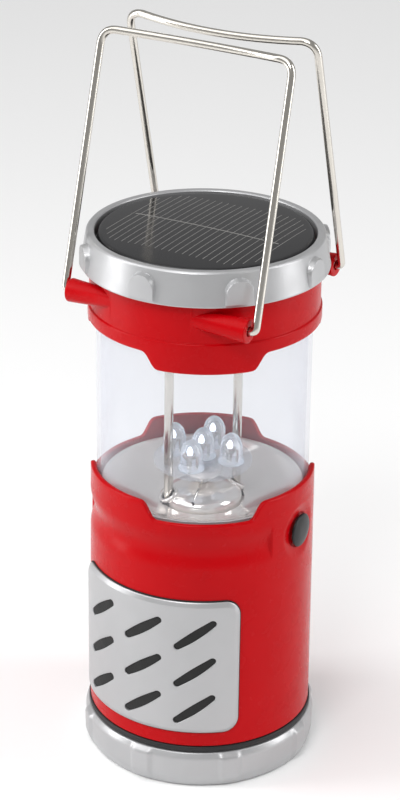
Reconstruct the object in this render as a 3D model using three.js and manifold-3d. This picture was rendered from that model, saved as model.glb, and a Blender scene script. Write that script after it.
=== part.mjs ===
// Pull-up solar camping lantern, in millimetres.
// +Z is up and z = 0 is the resting face. The bails pivot along X, the grille faces -Y
// and the power button sits on +X. Everything is drawn with the lantern pulled open.
import * as THREE from 'three';
import { mergeVertices } from 'three/addons/utils/BufferGeometryUtils.js';
import Module from 'manifold-3d';

const wasm = await Module();
wasm.setup();

// ---- Driving dimensions -------------------------------------------------------------------

const GAP = 0.3; // clearance between cut or turned neighbours
const CUT = { innerR: 20, outerR: 50 }; // radial cutters start inside and end outside every wall
const OUTER_STEPS = 40; // facets round the outside pieces
const INNER_STEPS = 24; // facets round the hidden pieces
const SMALL_STEPS = 12; // facets round rods, screws and lamps
const SLOT_POINTS = 12; // corners of a grille slot
const WIRE_SIDES = 8;
const WIRE_STEPS = 52;

const CAP = { bottomR: 40.3, sideR: 41.5, topZ: 13.6, boreR: 38, floorZ: 2.4 };
const CAP_BEVEL = { footR: 41.2, footZ: 1.2, lowZ: 4, highZ: 11.6, rimR: 40.5 };
const CAP_LOBE = { r: 42.4, half: 4.8, lowZ: 0.8, highZ: 11.4 };
const GASKET = { outerR: 40.3, innerR: 37.6, baseZ: 13.9, topZ: 16 };
const SHELL = { baseZ: 16, baseR: 39.8, topR: 39.3, boreR: 37.45, notchZ: 103.2, rimZ: 109.5 };
const SHELL_LIP = { innerR: 33, topZ: 18 };
const NOTCH = { topHalf: 20.4, floorHalf: 17.4 }; // half-widths of a rim notch
const TAB = { topHalf: 20.0, tipHalf: 16.9 }; // half-widths of a collar tab
const TAB_ANGLES = [-60, 60, 180];
const GRIP = { z: 92.5, height: 15, depth: 1.35, frontHalf: 68, backHalf: 60 };

const PANEL = { innerR: 39.95, outerR: 41.1, halfAngle: 50, lowZ: 22, highZ: 74, cornerR: 5.5 };
const BACKING = { innerR: 39.1, outerR: 39.75, halfAngle: 45, lowZ: 26.5, highZ: 69.5 };
const SLOT = { pitchAngle: 28, midZ: 46.6, pitchZ: 14.8, spanAngle: 20, rise: 9.4, halfWidth: 1.35 };

const BUTTON = { z: 92, r: 6, innerX: 39.05, edgeX: 39.7, crownX: 40.6, wellR: 6.3, wellX: 37.95 };
const SNAP_DISC = { r: 4.5, innerX: 38, outerX: 38.4 };

const CHASSIS = { neckR: 32.5, neckBore: 31, neckZ: 4, flangeR: 37.2, flangeZ: 20, wallR: 34.6 };
const CHASSIS_WALL = { bore: 33.1, topZ: 99.6 };
const SCREW = { circleR: 35, headR: 1.9, headZ: 14.3, shankR: 1.1, holeR: 1.4, tipZ: 19.6 };
const SCREW_ANGLES = [30, 150, 270];
const BAYONET = { half: 20, neckTipR: 37.5, neckLowZ: 7.6, neckTopZ: 9.8 };
const CAP_CATCH = { innerR: 36.2, lowZ: 10.2, topZ: 12.2 };

const CELL = { r: 7.1, baseZ: 6, length: 50.5, circleR: 10.6, tipR: 2.7, tipHeight: 1.2 };
const CARRIER = { plateR: 20, baseZ: 3.8, baseTopZ: 5.4, topZ: 58, topEndZ: 60, spine: 2.6 };
const CONTACT = { outerR: 18, innerR: 4, baseZ: 2.6, topZ: 3.1 };
const BOARD = { r: 32, baseZ: 76, topZ: 77.6, chipX: -20, chipSize: 9, chipHeight: 2 };

const REFLECTOR = { rimR: 35.3, rimZ: 102.5, bowlR: 14.9, bowlZ: 95, thickness: 1 };
const HUB = { edgeR: 14, edgeZ: 95.6, crownZ: 101, grooveZ: 93.4 };
const STEM = { footR: 2.6, footZ: 101.2, bulgeR: 6.9, bulgeZ: 104.4, shoulderZ: 107.4, topZ: 108.7 };
const LAMP_DISC = { r: 17.3, baseZ: 108.9, topZ: 110.3, holeR: 2.2 };
const LAMP = { flangeR: 4.6, flangeTop: 1.2, r: 4, crownHeight: 11, circleR: 10.7 };
const LAMP_ANGLES = [8, 98, 188, 278];
const CELL_ANGLES = LAMP_ANGLES; // the cells leave the rods' path clear, as the lamps do

const ROD = { r: 1.6, circleR: 13, baseZ: 88, topZ: 187.6 };
const ROD_ANGLES = [-127, 53];
const ROD_GUIDE = { outerR: 2.7, boreR: 1.8, baseZ: 92.4, topZ: 98.4, holeR: 2.8 };

const TUBE = { outerR: 37.2, innerR: 35.7, baseZ: 80, topZ: 188.5 };
const SLIDE_RING = { outerR: 37.3, innerR: 34.9, baseZ: 77, topZ: 79.8 };
const COLLAR = { r: 39.5, boreR: 37.4, flangeR: 40.07, flangeZ: 165.2, stepZ: 169.8, topZ: 190 };
const TAB_TIP_Z = 159.3;
const KNUCKLE = { r: 4, y: 33.5, z: 178, endX: 34.2, rootX: 12, boreR: 1.75, boreX: 25.2 };

const RING = {
  lipR: 42.5, lipZ: 183.9, topR: 40.4, topZ: 195.7, eyeR: 37.6, sleeveR: 39.8, shelfZ: 190.3,
};
const RING_LOBE = { half: 4.4, baseZ: 184.9, topZ: 193.4, proud: 0.95 };
const LOBE_COUNT = 8;
const TRAY = { r: 37.1, baseZ: 188.9, topZ: 192.4, recessR: 34.6, recessZ: 191.6 };
const TRAY_BOSS = { r: 3.2, baseZ: 182, boreR: 1.85, boreTopZ: 188 };
const SOLAR_CELL = { halfX: 29, halfY: 26.5, chamfer: 9, baseZ: 191.7, topZ: 192.2 };
const WINDOW = { r: 37.1, baseZ: 192.9, edgeZ: 194.7, crownZ: 196.2 };

const BAIL = { wireR: 1.2, legLength: 88, footX: 36.6, topX: 34.6, lean: 15, bow: 4, sideShift: 0.8 };
const BAIL_BEND = { foot: 2, corner: 5.5, innerX: 26.4 };

// ---- Colours ------------------------------------------------------------------------------

const paint = (color, roughness, metalness = 0) =>
  new THREE.MeshStandardMaterial({ color, roughness, metalness });
const glassy = (color, opacity) =>
  new THREE.MeshStandardMaterial({ color, roughness: 0.05, transparent: true, opacity });

const RED = paint(0xc80016, 0.35);
const SILVER = paint(0xbfc1c3, 0.4, 0.5);
const RUBBER = paint(0x232323, 0.75);
const BLACK = paint(0x1a1b1d, 0.55);
const CHROME = paint(0xd8d4cd, 0.12, 1);
const NICKEL = paint(0xb9b5ab, 0.2, 1);
const CLEAR = glassy(0xf2f6fa, 0.3);
const LAMP_CLEAR = glassy(0xe6eefc, 0.6);
const SOLAR = paint(0x2b2d33, 0.3);
const BOARD_GREEN = paint(0x1f5c35, 0.6);
const CELL_WRAP = paint(0x2f7a4a, 0.45);

// ---- Shape helpers ------------------------------------------------------------------------

const radians = (degrees) => (degrees * Math.PI) / 180;
const polar = (r, degrees) => [r * Math.cos(radians(degrees)), r * Math.sin(radians(degrees))];

function toSolid(geometry) {
  const bare = geometry.clone();
  bare.deleteAttribute('normal');
  bare.deleteAttribute('uv');
  const merged = mergeVertices(bare, 1e-4);
  return new wasm.Manifold(new wasm.Mesh({
    numProp: 3,
    vertProperties: new Float32Array(merged.attributes.position.array),
    triVerts: new Uint32Array(merged.index.array),
  }));
}

function toGeometry(solid) {
  const mesh = solid.getMesh();
  const geometry = new THREE.BufferGeometry();
  geometry.setAttribute('position', new THREE.BufferAttribute(mesh.vertProperties, 3));
  geometry.setIndex(new THREE.BufferAttribute(mesh.triVerts, 1));
  geometry.computeVertexNormals();
  return geometry;
}

// A turned solid about +Z. The profile lists [radius, z] from the bottom, outside first, and
// a profile with a bore is closed back onto its first point.
function turned(profile, steps = OUTER_STEPS) {
  const closed = profile.every(([r]) => r > 0) ? [...profile, profile[0]] : profile;
  const lathe = new THREE.LatheGeometry(closed.map(([r, z]) => new THREE.Vector2(r, z)), steps);
  return toSolid(lathe.rotateX(Math.PI / 2));
}

const ring = (innerR, outerR, z0, z1, steps = OUTER_STEPS) =>
  turned([[innerR, z0], [outerR, z0], [outerR, z1], [innerR, z1]], steps);

const disc = (r, z0, z1, steps = SMALL_STEPS) => turned([[0, z0], [r, z0], [r, z1], [0, z1]], steps);

function outline(points) {
  return new THREE.Shape(points.map(([x, y]) => new THREE.Vector2(x, y)));
}

// A prism that stands on the XY plane.
function upright(points, z0, z1) {
  const geometry = new THREE.ExtrudeGeometry(outline(points), { depth: z1 - z0, bevelEnabled: false });
  return toSolid(geometry.translate(0, 0, z0));
}

// A prism that runs outward from the axis, drawn as [across, z] and pointing along an angle.
function outward(shape, degrees, r0, r1) {
  const geometry = new THREE.ExtrudeGeometry(shape, {
    depth: r1 - r0, bevelEnabled: false, curveSegments: 3,
  });
  geometry.translate(0, 0, r0).rotateX(Math.PI / 2).rotateZ(radians(degrees + 90));
  return toSolid(geometry);
}

// A pie slice about the axis, used to keep part of a turned shape.
function slice(midAngle, halfAngle, r, z0, z1) {
  const points = [[0, 0]];
  const steps = Math.max(2, Math.ceil(halfAngle / 10));
  for (let i = -steps; i <= steps; i += 1) points.push(polar(r, midAngle + (halfAngle * i) / steps));
  return upright(points, z0, z1);
}

function roundedRect(halfWidth, z0, z1, r) {
  const shape = new THREE.Shape();
  shape.moveTo(-halfWidth + r, z0);
  shape.lineTo(halfWidth - r, z0).absarc(halfWidth - r, z0 + r, r, -Math.PI / 2, 0);
  shape.lineTo(halfWidth, z1 - r).absarc(halfWidth - r, z1 - r, r, 0, Math.PI / 2);
  shape.lineTo(-halfWidth + r, z1).absarc(-halfWidth + r, z1 - r, r, Math.PI / 2, Math.PI);
  shape.lineTo(-halfWidth, z0 + r).absarc(-halfWidth + r, z0 + r, r, Math.PI, Math.PI * 1.5);
  return shape;
}

const joined = (solids) => solids.reduce((all, next) => all.add(next));
const cutBy = (solid, cutters) => cutters.reduce((left, cutter) => left.subtract(cutter), solid);
const cylinderAt = (x, y, r, z0, z1) => disc(r, z0, z1).translate([x, y, 0]);

const group = new THREE.Group();

function part(name, solid, material, parent = group) {
  const mesh = new THREE.Mesh(toGeometry(solid), material);
  mesh.name = name;
  parent.add(mesh);
  return mesh;
}

// ---- Battery cap and base -----------------------------------------------------------------

function lobeOutline(half, z0, z1) {
  const shape = new THREE.Shape();
  shape.moveTo(-half, z0).lineTo(half, z0).lineTo(half, z1 - half);
  shape.absarc(0, z1 - half, half, 0, Math.PI);
  return shape;
}

function lobes(skin, half, z0, z1, innerR, outerR) {
  const solids = [];
  for (let i = 0; i < LOBE_COUNT; i += 1) {
    solids.push(outward(lobeOutline(half, z0, z1), (360 / LOBE_COUNT) * i, innerR, outerR));
  }
  return joined(solids).intersect(skin);
}

function baseCap() {
  const cup = turned([
    [0, 0], [CAP.bottomR, 0], [CAP_BEVEL.footR, CAP_BEVEL.footZ], [CAP.sideR, CAP_BEVEL.lowZ],
    [CAP.sideR, CAP_BEVEL.highZ], [CAP_BEVEL.rimR, CAP.topZ], [CAP.boreR, CAP.topZ],
    [CAP.boreR, CAP.floorZ], [0, CAP.floorZ],
  ]);
  const { r, half, lowZ, highZ } = CAP_LOBE;
  const lobeSkin = ring(CAP.boreR + 1, r, lowZ, highZ);
  const grips = lobes(lobeSkin, half, lowZ, highZ, CAP.boreR, r + 2);
  const catchRing = ring(CAP_CATCH.innerR, CAP.boreR + 0.5, CAP_CATCH.lowZ, CAP_CATCH.topZ);
  const catches = [90, 270].map((angle) =>
    catchRing.intersect(slice(angle, BAYONET.half, CAP.sideR, 0, CAP.topZ)));
  return joined([cup, grips, ...catches]);
}

function contactPlate() {
  return ring(CONTACT.innerR, CONTACT.outerR, CONTACT.baseZ, CONTACT.topZ, INNER_STEPS);
}

const gasket = () => ring(GASKET.innerR, GASKET.outerR, GASKET.baseZ, GASKET.topZ);

// ---- Body shell ---------------------------------------------------------------------------

function gripGroove(angle, half) {
  const z0 = GRIP.z - GRIP.height / 2;
  const profile = [];
  for (let i = 0; i <= 4; i += 1) {
    const share = i / 4;
    const wave = (1 - Math.cos(2 * Math.PI * share)) / 2;
    const z = z0 + GRIP.height * share;
    profile.push([SHELL.topR + 0.12 - (GRIP.depth + 0.12) * wave, z]);
  }
  const outer = SHELL.topR + 3;
  const bead = turned([[outer, z0 - 0.5], [outer, z0 + GRIP.height + 0.5], ...profile.reverse()]);
  return bead.intersect(slice(angle, half, outer + 2, z0 - 1, z0 + GRIP.height + 1));
}

function notch(angle) {
  const top = SHELL.rimZ + 1;
  const shape = outline([
    [-NOTCH.floorHalf, SHELL.notchZ], [NOTCH.floorHalf, SHELL.notchZ],
    [NOTCH.topHalf, SHELL.rimZ], [NOTCH.topHalf, top],
    [-NOTCH.topHalf, top], [-NOTCH.topHalf, SHELL.rimZ],
  ]);
  return outward(shape, angle, CUT.innerR, CUT.outerR);
}

function screwHoles(z0, z1) {
  return SCREW_ANGLES.map((angle) => cylinderAt(...polar(SCREW.circleR, angle), SCREW.holeR, z0, z1));
}

function acrossX(r, x0, x1, y, z, steps = SMALL_STEPS) {
  return disc(r, x0, x1, steps).rotate([0, 90, 0]).translate([0, y, z]);
}

function bodyShell() {
  const skin = turned([
    [SHELL_LIP.innerR, SHELL.baseZ], [SHELL.baseR, SHELL.baseZ], [SHELL.topR, SHELL.rimZ],
    [SHELL.boreR, SHELL.rimZ], [SHELL.boreR, SHELL_LIP.topZ], [SHELL_LIP.innerR, SHELL_LIP.topZ],
  ]);
  const pocket = ring(BACKING.innerR - 0.1, SHELL.baseR + 2, BACKING.lowZ - GAP, BACKING.highZ + GAP)
    .intersect(slice(-90, BACKING.halfAngle + 1, CUT.outerR, 0, SHELL.rimZ));
  const well = acrossX(BUTTON.wellR, BUTTON.wellX, CUT.outerR, 0, BUTTON.z, 24);
  return cutBy(skin, [
    ...TAB_ANGLES.map(notch), gripGroove(-90, GRIP.frontHalf), gripGroove(90, GRIP.backHalf),
    pocket, well, ...screwHoles(SHELL.baseZ - 1, SHELL_LIP.topZ + 1),
  ]);
}

// ---- Grille -------------------------------------------------------------------------------

// A point on the panel's face, given the angle away from its middle, as seen from the front.
const across = (degrees) => PANEL.outerR * Math.sin(radians(degrees));

// One slanted slot: a long lens shape whose ends are rounded.
function slotShape(midAngle, midZ) {
  const points = [];
  for (let i = 0; i < SLOT_POINTS; i += 1) {
    const turn = (2 * Math.PI * i) / SLOT_POINTS;
    const along = Math.cos(turn);
    const aside = Math.sin(turn) * (1 - 0.25 * along * along);
    const angle = midAngle + (SLOT.spanAngle / 2) * along;
    points.push([across(angle) - 0.55 * SLOT.halfWidth * aside,
      midZ + (SLOT.rise / 2) * along + SLOT.halfWidth * aside]);
  }
  return outline(points);
}

function grillePanel() {
  const half = across(PANEL.halfAngle);
  const plate = turned([
    [PANEL.innerR, PANEL.lowZ], [PANEL.outerR - 0.7, PANEL.lowZ], [PANEL.outerR, PANEL.lowZ + 1.6],
    [PANEL.outerR, PANEL.highZ - 1.6], [PANEL.outerR - 0.7, PANEL.highZ], [PANEL.innerR, PANEL.highZ],
  ]);
  const face = roundedRect(half, PANEL.lowZ, PANEL.highZ, PANEL.cornerR);
  const window = outward(face, -90, CUT.innerR, CUT.outerR);
  const slots = [];
  for (let column = -1; column <= 1; column += 1) {
    for (let row = -1; row <= 1; row += 1) {
      const shape = slotShape(column * SLOT.pitchAngle, SLOT.midZ + row * SLOT.pitchZ);
      slots.push(outward(shape, -90, CUT.innerR, CUT.outerR));
    }
  }
  return cutBy(plate.intersect(window), slots);
}

function grilleBacking() {
  const sheet = ring(BACKING.innerR, BACKING.outerR, BACKING.lowZ, BACKING.highZ);
  return sheet.intersect(slice(-90, BACKING.halfAngle, CUT.outerR, 0, SHELL.rimZ));
}

// ---- Power button -------------------------------------------------------------------------

function powerButton() {
  const crown = [];
  for (let i = 0; i <= 4; i += 1) {
    const turn = (Math.PI / 2) * (i / 4);
    const x = BUTTON.edgeX + (BUTTON.crownX - BUTTON.edgeX) * Math.sin(turn);
    crown.push([i === 4 ? 0 : BUTTON.r * Math.cos(turn), x]);
  }
  const dome = turned([[0, BUTTON.innerX], [BUTTON.r, BUTTON.innerX], ...crown], SMALL_STEPS + 4);
  return dome.rotate([0, 90, 0]).translate([0, 0, BUTTON.z]);
}

const snapDisc = () => acrossX(SNAP_DISC.r, SNAP_DISC.innerX, SNAP_DISC.outerX, 0, BUTTON.z, 20);

// ---- Inner chassis and battery ------------------------------------------------------------

function innerChassis() {
  const body = turned([
    [CHASSIS.neckBore, CHASSIS.neckZ], [CHASSIS.neckR, CHASSIS.neckZ],
    [CHASSIS.neckR, SHELL_LIP.topZ + 0.05], [CHASSIS.flangeR, SHELL_LIP.topZ + 0.05],
    [CHASSIS.flangeR, CHASSIS.flangeZ],
    [CHASSIS.wallR, CHASSIS.flangeZ], [CHASSIS.wallR, CHASSIS_WALL.topZ],
    [CHASSIS_WALL.bore, CHASSIS_WALL.topZ], [CHASSIS_WALL.bore, CHASSIS.flangeZ],
    [CHASSIS.neckBore, CHASSIS.flangeZ],
  ], INNER_STEPS);
  const lugRing = ring(CHASSIS.neckBore + 0.5, BAYONET.neckTipR, BAYONET.neckLowZ, BAYONET.neckTopZ);
  const lugs = [90, 270].map((angle) =>
    lugRing.intersect(slice(angle, BAYONET.half, CUT.outerR, 0, CHASSIS.flangeZ)));
  return cutBy(joined([body, ...lugs]), screwHoles(SHELL_LIP.topZ - 1, CHASSIS.flangeZ + 1));
}

function chassisScrew(angle) {
  const profile = [
    [0, SCREW.headZ], [SCREW.headR, SCREW.headZ], [SCREW.headR, SHELL.baseZ - 0.05],
    [SCREW.shankR, SHELL.baseZ - 0.05], [SCREW.shankR, SCREW.tipZ], [0, SCREW.tipZ],
  ];
  return turned(profile, SMALL_STEPS).translate([...polar(SCREW.circleR, angle), 0]);
}

function batteryCell(angle) {
  const top = CELL.baseZ + CELL.length - CELL.tipHeight;
  const profile = [
    [0, CELL.baseZ], [CELL.r, CELL.baseZ], [CELL.r, top], [CELL.tipR, top],
    [CELL.tipR, top + CELL.tipHeight], [0, top + CELL.tipHeight],
  ];
  return turned(profile, 20).translate([...polar(CELL.circleR, angle), 0]);
}

// Two end plates on a square spine. The rods pass through the top plate.
function batteryCarrier() {
  const half = CARRIER.spine / 2;
  const square = [[-half, -half], [half, -half], [half, half], [-half, half]];
  const frame = joined([
    disc(CARRIER.plateR, CARRIER.baseZ, CARRIER.baseTopZ, INNER_STEPS),
    upright(square, CARRIER.baseTopZ - 0.5, CARRIER.topZ + 0.5),
    disc(CARRIER.plateR, CARRIER.topZ, CARRIER.topEndZ, INNER_STEPS),
  ]);
  return cutBy(frame, rodHoles(LAMP_DISC.holeR, CARRIER.topZ - 1, CARRIER.topEndZ + 1));
}

function rodHoles(r, z0, z1) {
  return ROD_ANGLES.map((angle) => cylinderAt(...polar(ROD.circleR, angle), r, z0, z1));
}

const circuitBoard = () =>
  cutBy(disc(BOARD.r, BOARD.baseZ, BOARD.topZ, INNER_STEPS), rodHoles(LAMP_DISC.holeR, 70, 90));

function chargeChip() {
  const half = BOARD.chipSize / 2;
  const square = [[-half, -half], [half, -half], [half, half], [-half, half]];
  return upright(square, BOARD.topZ, BOARD.topZ + BOARD.chipHeight).translate([BOARD.chipX, 0, 0]);
}

// ---- Reflector and lamps ------------------------------------------------------------------

function bowl(steps) {
  const points = [];
  for (let i = 0; i <= steps; i += 1) {
    const share = i / steps;
    const r = REFLECTOR.bowlR + (REFLECTOR.rimR - 1 - REFLECTOR.bowlR) * share;
    points.push([r, REFLECTOR.bowlZ + (REFLECTOR.rimZ - REFLECTOR.bowlZ) * share ** 1.6]);
  }
  return points;
}

function hubDome(steps) {
  const points = [];
  for (let i = 0; i <= steps; i += 1) {
    const turn = (Math.PI / 2) * (i / steps);
    const z = HUB.edgeZ + (HUB.crownZ - HUB.edgeZ) * Math.sin(turn);
    points.push([i === steps ? 0 : HUB.edgeR * Math.cos(turn), z]);
  }
  return points;
}

// The bowl dips to a groove round the central dome, all in one plated piece.
function reflector() {
  const face = bowl(4);
  const under = REFLECTOR.thickness;
  const grooveFloor = HUB.grooveZ - under;
  const back = face.map(([r, z]) => [r, z - under]);
  const dome = hubDome(4);
  const solid = turned([
    [0, grooveFloor], [REFLECTOR.bowlR, grooveFloor], ...back.slice(1),
    [REFLECTOR.rimR, REFLECTOR.rimZ - under], [REFLECTOR.rimR, REFLECTOR.rimZ], ...face.reverse(),
    [REFLECTOR.bowlR - 0.2, HUB.grooveZ], [HUB.edgeR, HUB.grooveZ], ...dome,
  ], INNER_STEPS);
  return cutBy(solid, rodHoles(ROD_GUIDE.holeR, 80, 110));
}

const rodGuide = (angle) =>
  ring(ROD_GUIDE.boreR, ROD_GUIDE.outerR, ROD_GUIDE.baseZ, ROD_GUIDE.topZ, SMALL_STEPS)
    .translate([...polar(ROD.circleR, angle), 0]);

const ledStem = () => turned([
  [0, STEM.footZ], [STEM.footR, STEM.footZ], [STEM.footR, STEM.bulgeZ - 1.2],
  [STEM.bulgeR, STEM.bulgeZ], [STEM.bulgeR, STEM.shoulderZ], [STEM.bulgeR - 1.4, STEM.topZ],
  [0, STEM.topZ],
], SMALL_STEPS);

const lampDisc = () => cutBy(
  disc(LAMP_DISC.r, LAMP_DISC.baseZ, LAMP_DISC.topZ, INNER_STEPS),
  rodHoles(LAMP_DISC.holeR, LAMP_DISC.baseZ - 1, LAMP_DISC.topZ + 1),
);

function lamp(x, y) {
  const base = LAMP_DISC.topZ + 0.05;
  const shoulder = LAMP.crownHeight - LAMP.r;
  const profile = [
    [0, base], [LAMP.flangeR, base], [LAMP.flangeR, base + LAMP.flangeTop],
    [LAMP.r, base + LAMP.flangeTop],
  ];
  for (let i = 0; i <= 4; i += 1) {
    const turn = (Math.PI / 2) * (i / 4);
    profile.push([i === 4 ? 0 : LAMP.r * Math.cos(turn), base + shoulder + LAMP.r * Math.sin(turn)]);
  }
  return turned(profile, SMALL_STEPS).translate([x, y, 0]);
}

// ---- Sliding top --------------------------------------------------------------------------

function guideRod(angle) {
  return cylinderAt(...polar(ROD.circleR, angle), ROD.r, ROD.baseZ, ROD.topZ);
}

const clearTube = () => ring(TUBE.innerR, TUBE.outerR, TUBE.baseZ, TUBE.topZ);

const slideRing = () => ring(SLIDE_RING.innerR, SLIDE_RING.outerR, SLIDE_RING.baseZ, SLIDE_RING.topZ);

function collarTab(angle) {
  const shape = outline([
    [-TAB.tipHalf, TAB_TIP_Z], [TAB.tipHalf, TAB_TIP_Z], [TAB.topHalf, COLLAR.flangeZ],
    [TAB.topHalf, COLLAR.stepZ], [-TAB.topHalf, COLLAR.stepZ], [-TAB.topHalf, COLLAR.flangeZ],
  ]);
  const skin = ring(COLLAR.boreR, COLLAR.flangeR, TAB_TIP_Z, COLLAR.stepZ);
  return skin.intersect(outward(shape, angle, CUT.innerR, CUT.outerR));
}

// A boss that runs along X and blends into the collar, bored for the bail's foot.
function knuckle(sideX, sideY) {
  const y = sideY * KNUCKLE.y;
  const span = [sideX * KNUCKLE.rootX, sideX * KNUCKLE.endX].sort((a, b) => a - b);
  return acrossX(KNUCKLE.r, ...span, y, KNUCKLE.z);
}

function knuckleBore(sideX, sideY) {
  const span = [sideX * KNUCKLE.boreX, sideX * CUT.outerR].sort((a, b) => a - b);
  return acrossX(KNUCKLE.boreR, ...span, sideY * KNUCKLE.y, KNUCKLE.z);
}

const CORNERS = [[-1, -1], [1, -1], [1, 1], [-1, 1]];

function upperCollar() {
  const sleeve = turned([
    [COLLAR.boreR, COLLAR.flangeZ], [COLLAR.flangeR, COLLAR.flangeZ], [COLLAR.flangeR, COLLAR.stepZ],
    [COLLAR.r, COLLAR.stepZ + 0.4], [COLLAR.r, COLLAR.topZ], [COLLAR.boreR, COLLAR.topZ],
  ]);
  const shape = joined([
    sleeve, ...TAB_ANGLES.map(collarTab), ...CORNERS.map(([x, y]) => knuckle(x, y)),
  ]);
  const bore = disc(COLLAR.boreR, 150, COLLAR.topZ + 5, OUTER_STEPS);
  return cutBy(shape, [bore, ...CORNERS.map(([x, y]) => knuckleBore(x, y))]);
}

function capRing() {
  const body = turned([
    [RING.sleeveR, RING.lipZ], [RING.lipR - 0.4, RING.lipZ], [RING.lipR, RING.lipZ + 0.6],
    [RING.topR, RING.topZ - 0.6], [RING.topR - 0.6, RING.topZ], [RING.eyeR + 0.5, RING.topZ],
    [RING.eyeR, RING.topZ - 0.5], [RING.eyeR, RING.shelfZ],
    [RING.sleeveR, RING.shelfZ],
  ]);
  const proud = RING_LOBE.proud;
  const skin = turned([
    [RING.sleeveR + 0.3, RING_LOBE.baseZ], [RING.lipR + proud, RING_LOBE.baseZ],
    [RING.topR + proud, RING.topZ - 0.6], [RING.topR - 1, RING.topZ - 0.6],
    [RING.sleeveR + 0.3, RING.shelfZ],
  ]);
  const grips = lobes(skin, RING_LOBE.half, RING_LOBE.baseZ, RING_LOBE.topZ, CUT.innerR, CUT.outerR);
  return body.add(grips);
}

function solarTray() {
  const plate = turned([
    [0, TRAY.baseZ], [TRAY.r, TRAY.baseZ], [TRAY.r, TRAY.topZ], [TRAY.recessR, TRAY.topZ],
    [TRAY.recessR, TRAY.recessZ], [0, TRAY.recessZ],
  ]);
  const bosses = ROD_ANGLES.map((angle) =>
    cylinderAt(...polar(ROD.circleR, angle), TRAY_BOSS.r, TRAY_BOSS.baseZ, TRAY.baseZ + 0.5));
  const bores = rodHoles(TRAY_BOSS.boreR, TRAY_BOSS.baseZ - 1, TRAY_BOSS.boreTopZ);
  return cutBy(joined([plate, ...bosses]), bores);
}

function solarCell() {
  const { halfX, halfY, chamfer } = SOLAR_CELL;
  const corners = [
    [halfX - chamfer, -halfY], [halfX, -halfY + chamfer],
    [halfX, halfY - chamfer], [halfX - chamfer, halfY],
    [-halfX + chamfer, halfY], [-halfX, halfY - chamfer], [-halfX, -halfY + chamfer],
    [-halfX + chamfer, -halfY],
  ];
  return upright(corners, SOLAR_CELL.baseZ, SOLAR_CELL.topZ);
}

function solarWindow() {
  const profile = [[0, WINDOW.baseZ], [WINDOW.r, WINDOW.baseZ], [WINDOW.r, WINDOW.edgeZ]];
  for (let i = 1; i <= 4; i += 1) {
    const share = i / 4;
    const z = WINDOW.edgeZ + (WINDOW.crownZ - WINDOW.edgeZ) * (1 - (1 - share) ** 2);
    profile.push([WINDOW.r * (1 - share), z]);
  }
  return turned(profile);
}

// ---- Bails --------------------------------------------------------------------------------

// The wire's middle line in the bail's own frame: the pivot is the X axis and the loop is up.
function bailLine() {
  const { legLength, footX, topX, bow } = BAIL;
  const { foot, corner, innerX } = BAIL_BEND;
  const line = new THREE.CurvePath();
  const at = (x, y, z) => new THREE.Vector3(x, y, z);
  const straight = (a, b) => line.add(new THREE.LineCurve3(a, b));
  const bend = (a, b, c) => line.add(new THREE.QuadraticBezierCurve3(a, b, c));
  const slope = (footX - topX) / legLength;
  const legX = (z) => footX - slope * z;
  for (const side of [-1, 1]) {
    const start = at(side * innerX, 0, 0);
    const footStart = at(side * (footX - foot), 0, 0);
    const footEnd = at(side * legX(foot), 0, foot);
    const cornerStart = at(side * legX(legLength - corner), 0, legLength - corner);
    const cornerEnd = at(side * (topX - corner), 0.4, legLength);
    const bends = [at(side * footX, 0, 0), at(side * topX, 0, legLength)];
    if (side < 0) {
      straight(start, footStart);
      bend(footStart, bends[0], footEnd);
      straight(footEnd, cornerStart);
      bend(cornerStart, bends[1], cornerEnd);
      bend(cornerEnd, at(0, 2 * bow - 0.4, legLength), at(topX - corner, 0.4, legLength));
    } else {
      bend(cornerEnd, bends[1], cornerStart);
      straight(cornerStart, footEnd);
      bend(footEnd, bends[0], footStart);
      straight(footStart, start);
    }
  }
  return line;
}

// The bend stretches get more steps than the straight ones.
function wirePoints(line) {
  const steps = [1, 4, 6, 5, 10, 5, 6, 4, 1];
  const points = [line.curves[0].getPoint(0)];
  line.curves.forEach((curve, index) => {
    for (let i = 1; i <= steps[index]; i += 1) points.push(curve.getPoint(i / steps[index]));
  });
  return points;
}

function bail() {
  const points = wirePoints(bailLine());
  const path = new THREE.CatmullRomCurve3(points, false, 'centripetal');
  const section = new THREE.Shape();
  section.absarc(0, 0, BAIL.wireR, 0, Math.PI * 2);
  return toSolid(new THREE.ExtrudeGeometry(section, {
    steps: WIRE_STEPS, extrudePath: path, curveSegments: WIRE_SIDES / 2,
  }));
}

// sideY is -1 for the front bail and 1 for the back one. Each leans in over the panel.
function addBail(name, sideY) {
  const mesh = part(name, bail(), NICKEL);
  mesh.position.set(-sideY * BAIL.sideShift, sideY * KNUCKLE.y, KNUCKLE.z);
  mesh.rotation.set(radians(-BAIL.lean), 0, sideY > 0 ? Math.PI : 0, 'ZXY');
}

// ---- Assembly -----------------------------------------------------------------------------

part('base_cap', baseCap(), SILVER);
part('contact_plate', contactPlate(), NICKEL);
part('base_gasket', gasket(), RUBBER);
part('body_shell', bodyShell(), RED);
part('grille_panel', grillePanel(), SILVER);
part('grille_backing', grilleBacking(), BLACK);
part('power_button', powerButton(), RUBBER);
part('button_snap_disc', snapDisc(), NICKEL);
part('inner_chassis', innerChassis(), BLACK);
SCREW_ANGLES.forEach((angle, i) => part(`chassis_screw_${i + 1}`, chassisScrew(angle), NICKEL));
part('battery_carrier', batteryCarrier(), BLACK);
CELL_ANGLES.forEach((angle, i) => part(`battery_cell_${i + 1}`, batteryCell(angle), CELL_WRAP));
part('circuit_board', circuitBoard(), BOARD_GREEN);
part('charge_chip', chargeChip(), BLACK);
part('reflector', reflector(), CHROME);
ROD_ANGLES.forEach((angle, i) => part(`rod_guide_${i + 1}`, rodGuide(angle), CHROME));
part('led_stem', ledStem(), CHROME);
part('led_disc', lampDisc(), CLEAR);
part('led_lamp_1', lamp(0, 0), LAMP_CLEAR);
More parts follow.
